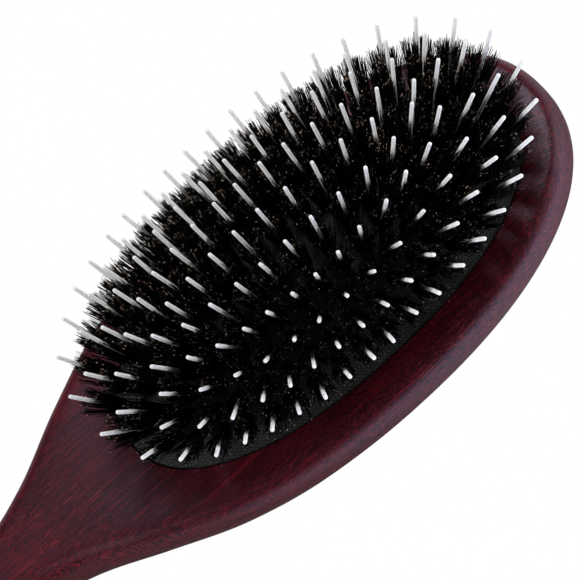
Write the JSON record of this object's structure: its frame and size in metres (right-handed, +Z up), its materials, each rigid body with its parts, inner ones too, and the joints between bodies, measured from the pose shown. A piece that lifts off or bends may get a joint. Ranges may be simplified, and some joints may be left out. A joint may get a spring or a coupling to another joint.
{
  "type": "vanity hairbrush",
  "caption": "Oval cushion hairbrush with a wooden head and handle, and rings of bristle tufts with nylon pins on a rubber air cushion that gives when pressed.",
  "frame": {"origin": "middle of the bounding box, on the surface that the brush lies on", "axes": "+X from the handle to the tip of the head, +Z up, the way the pins point"},
  "size_m": [0.225, 0.0688, 0.0424],
  "materials": {
    "wood": "dark red stained and lacquered, satin",
    "rubber": "matt moulded rubber",
    "fabric": "fine plain weave",
    "bristle": "natural hair, ragged tips",
    "nylon": "smooth, rounded tips",
    "wire": "drawn wire"
  },
  "bodies": {
    "handle_and_cushion": {"wood_body": "wood", "cushion_rubber": "rubber", "cushion_fabric": "fabric"},
    "tufts_1": {"bristles_ring_1": "bristle", "pins_ring_1": "nylon", "staples_ring_1": "wire"},
    "tufts_2": {"bristles_ring_2": "bristle", "pins_ring_2": "nylon", "staples_ring_2": "wire"},
    "tufts_3": {"bristles_ring_3": "bristle", "pins_ring_3": "nylon", "staples_ring_3": "wire"},
    "tufts_4": {"bristles_ring_4": "bristle", "pins_ring_4": "nylon", "staples_ring_4": "wire"},
    "tufts_5": {"bristles_ring_5": "bristle", "pins_ring_5": "nylon", "staples_ring_5": "wire"}
  },
  "joints": [
    {"name": "press_1", "type": "slide", "parent": "handle_and_cushion", "child": "tufts_1", "axis": [0, 0, -1], "range_m": [0, 0.0045], "stiffness_N_per_m": 1500, "deforming": ["cushion_rubber", "cushion_fabric"]},
    {"name": "press_2", "type": "slide", "parent": "handle_and_cushion", "child": "tufts_2", "axis": [0, 0, -1], "range_m": [0, 0.00432], "stiffness_N_per_m": 1500},
    {"name": "press_3", "type": "slide", "parent": "handle_and_cushion", "child": "tufts_3", "axis": [0, 0, -1], "range_m": [0, 0.00389], "stiffness_N_per_m": 1500},
    {"name": "press_4", "type": "slide", "parent": "handle_and_cushion", "child": "tufts_4", "axis": [0, 0, -1], "range_m": [0, 0.00316], "stiffness_N_per_m": 1500},
    {"name": "press_5", "type": "slide", "parent": "handle_and_cushion", "child": "tufts_5", "axis": [0, 0, -1], "range_m": [0, 0.00211], "stiffness_N_per_m": 1500}
  ],
  "couplings": [
    {"joint": "press_2", "follows": "press_1", "ratio": 0.9595},
    {"joint": "press_3", "follows": "press_1", "ratio": 0.8631},
    {"joint": "press_4", "follows": "press_1", "ratio": 0.7012},
    {"joint": "press_5", "follows": "press_1", "ratio": 0.4671}
  ]
}
